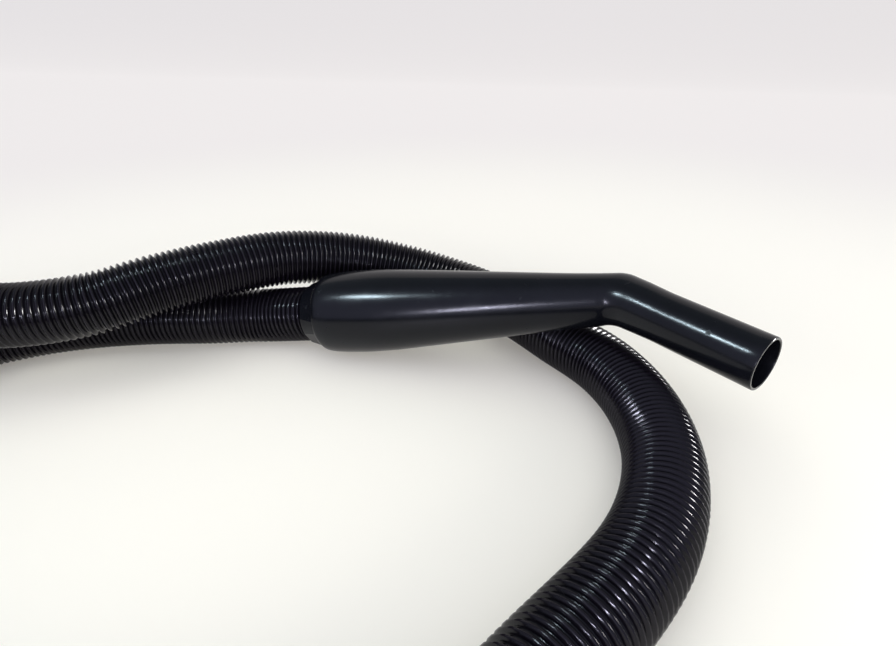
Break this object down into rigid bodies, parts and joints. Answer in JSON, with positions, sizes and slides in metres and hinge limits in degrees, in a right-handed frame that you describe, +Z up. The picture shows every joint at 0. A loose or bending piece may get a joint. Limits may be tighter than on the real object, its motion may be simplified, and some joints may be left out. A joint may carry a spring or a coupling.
{
  "type": "vacuum hose",
  "caption": "Corrugated vacuum cleaner hose with a bent wand handle on a swivel cuff and a straight swivel connector for the machine, laid in one open loop.",
  "frame": {"origin": "on the floor, under the middle of the handle with its hose cuff", "axes": "+Z up; +X along the grip in plan, from the hose towards the nozzle; +Y to the left of a hand that holds the grip"},
  "size_m": [0.7361, 0.4603, 0.0838],
  "materials": {
    "black_plastic": "semi-gloss moulded black with a slight blue tint",
    "hose_plastic": "glossy black ribbed flexible plastic",
    "seal_rubber": "matt black",
    "spring_steel": "bright spring steel"
  },
  "bodies": {
    "hose_line": {"hose": "hose_plastic", "swivel_cuff": "black_plastic", "swivel_ring": "spring_steel", "machine_cuff": "black_plastic", "machine_ring": "spring_steel"},
    "handle": {"handle_grip": "black_plastic", "handle_nozzle": "black_plastic", "swivel_seal": "seal_rubber"},
    "machine_connector": {"machine_connector": "black_plastic", "machine_seal": "seal_rubber"}
  },
  "joints": [
    {"name": "handle_swivel", "type": "hinge", "parent": "hose_line", "child": "handle", "pos_m": [-0.1364, 0.018, 0.0279], "axis": [0.9833, 0, 0.1822], "continuous": true},
    {"name": "machine_swivel", "type": "hinge", "parent": "hose_line", "child": "machine_connector", "pos_m": [-0.4995, -0.143, 0.0372], "axis": [-0.9327, -0.2675, -0.2419], "continuous": true}
  ]
}
